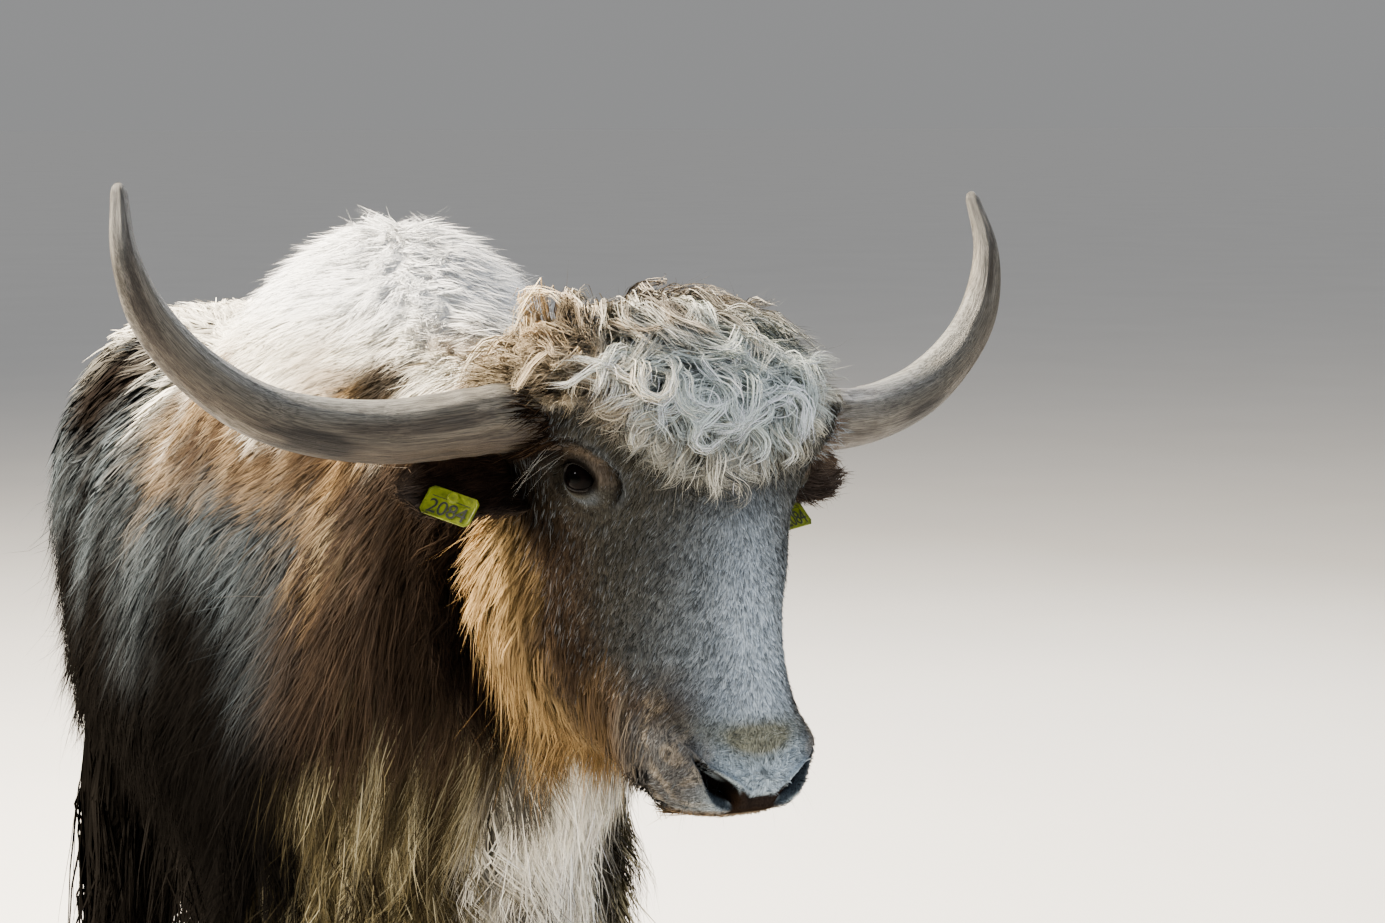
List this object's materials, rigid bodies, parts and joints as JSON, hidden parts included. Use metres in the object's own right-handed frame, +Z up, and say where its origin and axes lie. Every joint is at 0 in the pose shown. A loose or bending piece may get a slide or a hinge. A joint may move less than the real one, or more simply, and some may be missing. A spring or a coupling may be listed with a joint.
{
  "type": "yak",
  "caption": "Life-size museum-style model of a long-coated yak bull, standing square with its head turned to its left, wide upswept horns and a plain yellow ear tag in each ear.",
  "frame": {"origin": "on the floor under the middle of the whole animal's box", "axes": "+Z up, -Y the way the body faces, +X the animal's left side"},
  "size_m": [0.9617, 2.3986, 1.4268],
  "materials": {
    "coat_cream": "long cream-white outer hair in soft wavy locks, matt with a dull sheen",
    "coat_brown": "long hanging hair, tan to grey-brown and dark brown low on the flanks, creamy along the back",
    "coat_taupe": "short flat face hair, taupe with a roan pale midline and a pale grey muzzle",
    "coat_dark": "short brown-black ear hair with a grey fringe on the rim",
    "horn_keratin": "grey-brown horn, lengthwise striations, chips near the base, smooth grey tips",
    "hoof_keratin": "dark slate-brown hoof horn with faint growth rings",
    "eye_wet": "wet, nearly black eye",
    "tag_plastic": "lime-yellow moulded polyurethane, slightly scuffed"
  },
  "bodies": {
    "root": {"trunk": "coat_brown", "neck": "coat_brown", "head": "coat_taupe", "tail": "coat_brown", "leg_front_left": "coat_cream", "leg_front_right": "coat_cream", "leg_hind_left": "coat_brown", "leg_hind_right": "coat_brown", "ear_left": "coat_dark", "ear_right": "coat_dark", "horn_left": "horn_keratin", "horn_right": "horn_keratin", "eye_left": "eye_wet", "eye_right": "eye_wet", "ear_tag_left": "tag_plastic", "ear_tag_right": "tag_plastic", "hoof_front_left": "hoof_keratin", "dewclaw_front_left_inner": "hoof_keratin", "dewclaw_front_left_outer": "hoof_keratin", "hoof_front_right": "hoof_keratin", "dewclaw_front_right_inner": "hoof_keratin", "dewclaw_front_right_outer": "hoof_keratin", "hoof_hind_left": "hoof_keratin", "dewclaw_hind_left_inner": "hoof_keratin", "dewclaw_hind_left_outer": "hoof_keratin", "hoof_hind_right": "hoof_keratin", "dewclaw_hind_right_inner": "hoof_keratin", "dewclaw_hind_right_outer": "hoof_keratin"}
  },
  "joints": []
}
